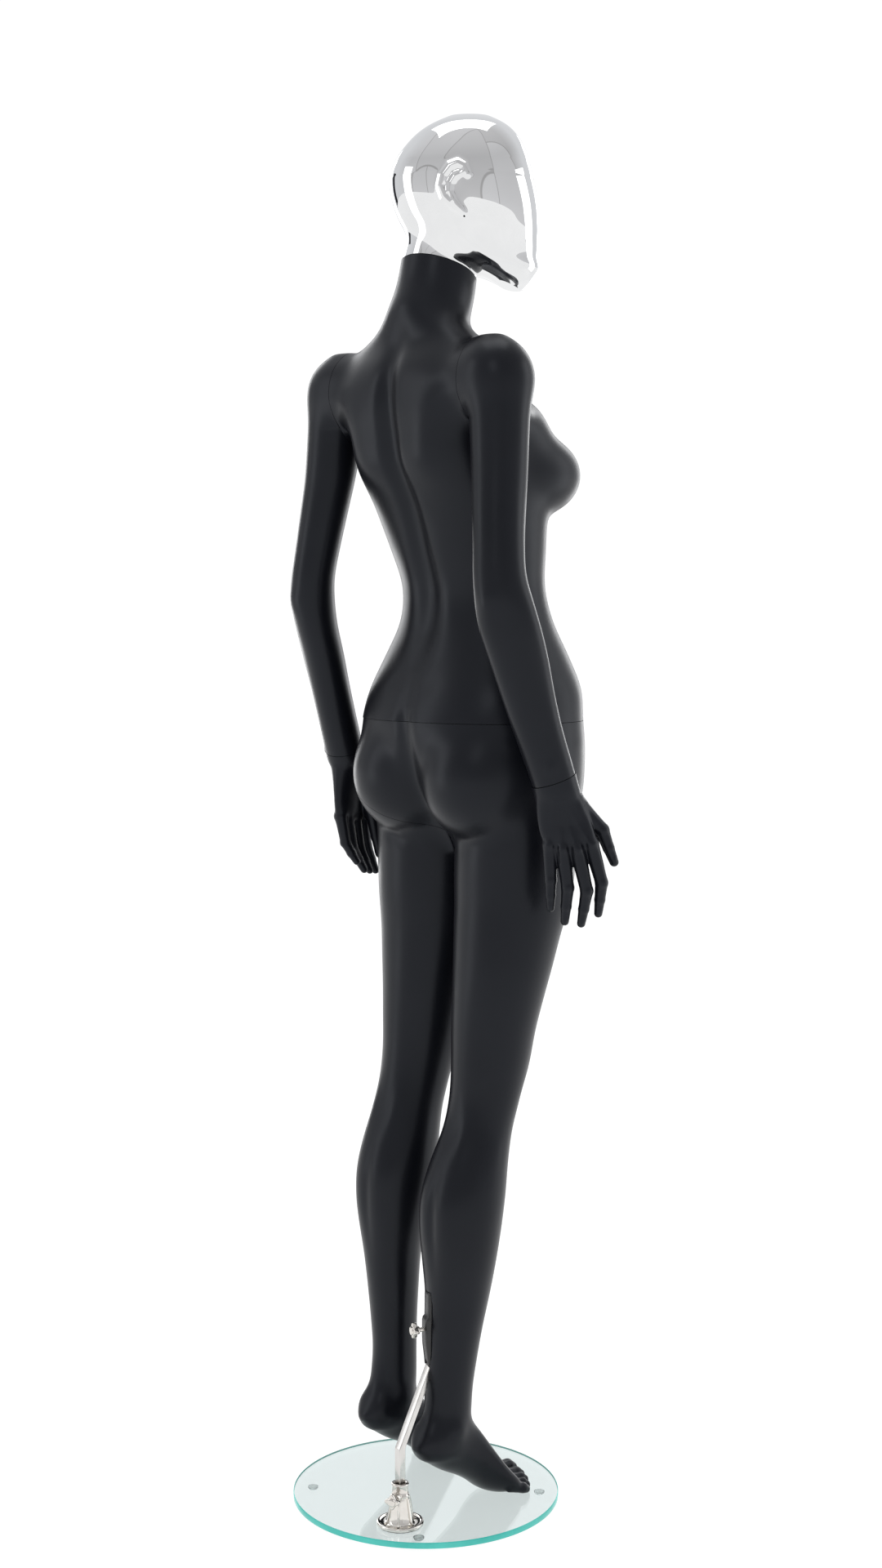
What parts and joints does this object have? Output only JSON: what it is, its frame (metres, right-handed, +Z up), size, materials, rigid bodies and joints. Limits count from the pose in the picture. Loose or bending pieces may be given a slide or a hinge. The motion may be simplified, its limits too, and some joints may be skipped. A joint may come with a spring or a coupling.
{
  "type": "full-body display mannequin",
  "caption": "Standing full-body display figure with a mirror-finish egg head, plug-in limbs, and a glass base with a calf support bar.",
  "frame": {"origin": "centre of the glass disc, at floor level under its four bumpers", "axes": "+Z up along the figure, -Y the way the chest and toes point, +X towards the figure's left hand"},
  "size_m": [0.47, 0.3759, 1.792],
  "materials": {
    "black_coat": "satin black lacquer on cast fibreglass",
    "mirror_head": "vacuum-plated mirror chrome on cast fibreglass",
    "plated": "polished nickel plate",
    "steel": "zinc-plated pressed steel",
    "glass": "tempered clear float glass, polished edge",
    "rubber": "matte",
    "bumper": "clear elastomer bumper",
    "black_socket": "moulded, matte"
  },
  "bodies": {
    "base": {"glass_base": "glass", "foot_pad_1": "bumper", "foot_pad_2": "bumper", "foot_pad_3": "bumper", "foot_pad_4": "bumper", "spigot": "plated", "spigot_gasket": "rubber", "base_washer": "steel", "base_bolt": "steel"},
    "spigot_screw": {"spigot_star_screw": "plated"},
    "bar": {"support_rod": "plated"},
    "hips": {"hips_right_leg": "black_coat", "calf_socket": "black_socket", "waist_bayonet_stud": "steel", "left_hip_bayonet_plate": "steel", "left_hip_plate_screw_1": "steel", "left_hip_plate_screw_2": "steel", "left_leg": "black_coat", "left_hip_bayonet_stud": "steel"},
    "calf_screw": {"calf_star_screw": "plated"},
    "upper_body": {"torso": "black_coat", "waist_bayonet_plate": "steel", "waist_plate_screw_1": "steel", "waist_plate_screw_2": "steel", "neck_bayonet_plate": "steel", "neck_plate_screw_1": "steel", "neck_plate_screw_2": "steel", "left_shoulder_bayonet_plate": "steel", "left_shoulder_plate_screw_1": "steel", "left_shoulder_plate_screw_2": "steel", "right_shoulder_bayonet_plate": "steel", "right_shoulder_plate_screw_1": "steel", "right_shoulder_plate_screw_2": "steel"},
    "head_unit": {"head": "mirror_head", "neck_bayonet_stud": "steel"},
    "arm_left": {"left_arm": "black_coat", "left_shoulder_bayonet_stud": "steel", "left_wrist_bayonet_plate": "steel", "left_wrist_plate_screw_1": "steel", "left_wrist_plate_screw_2": "steel"},
    "arm_right": {"right_arm": "black_coat", "right_shoulder_bayonet_stud": "steel", "right_wrist_bayonet_plate": "steel", "right_wrist_plate_screw_1": "steel", "right_wrist_plate_screw_2": "steel"},
    "hand_left": {"left_hand": "black_coat", "left_wrist_bayonet_stud": "steel"},
    "hand_right": {"right_hand": "black_coat", "right_wrist_bayonet_stud": "steel"}
  },
  "joints": [
    {"name": "bar_lift", "type": "slide", "parent": "base", "child": "bar", "axis": [0, 0, 1], "range_m": [0, 0.03]},
    {"name": "spigot_screw_turn", "type": "hinge", "parent": "base", "child": "spigot_screw", "pos_m": [-0.067, 0.103, 0.051], "axis": [-0.44, 0.898, 0], "range_deg": [0, 360]},
    {"name": "figure_lift", "type": "slide", "parent": "bar", "child": "hips", "axis": [0, 0, 1], "range_m": [0, 0.025]},
    {"name": "calf_screw_turn", "type": "hinge", "parent": "hips", "child": "calf_screw", "pos_m": [-0.05, 0.035, 0.247], "axis": [0.3499, 0.9368, 0], "range_deg": [0, 360]},
    {"name": "waist_turn", "type": "hinge", "parent": "hips", "child": "upper_body", "pos_m": [0, -0.08, 1.027], "axis": [0, 0, 1], "range_deg": [-20, 20]},
    {"name": "head_turn", "type": "hinge", "parent": "upper_body", "child": "head_unit", "pos_m": [0, -0.02, 1.6], "axis": [0, -0.3258, 0.9454], "range_deg": [-35, 35]},
    {"name": "left_arm_swing", "type": "hinge", "parent": "upper_body", "child": "arm_left", "pos_m": [0.122, 0.012, 1.452], "axis": [1, 0, 0], "range_deg": [-60, 15]},
    {"name": "right_arm_swing", "type": "hinge", "parent": "upper_body", "child": "arm_right", "pos_m": [-0.122, 0.012, 1.452], "axis": [1, 0, 0], "range_deg": [-60, 15]},
    {"name": "left_hand_turn", "type": "hinge", "parent": "arm_left", "child": "hand_left", "pos_m": [0.1965, -0.027, 0.98], "axis": [0.1309, -0.3228, -0.9374], "range_deg": [-40, 40]},
    {"name": "right_hand_turn", "type": "hinge", "parent": "arm_right", "child": "hand_right", "pos_m": [-0.1985, -0.033, 0.96], "axis": [-0.1309, -0.3228, -0.9374], "range_deg": [-40, 40]}
  ]
}
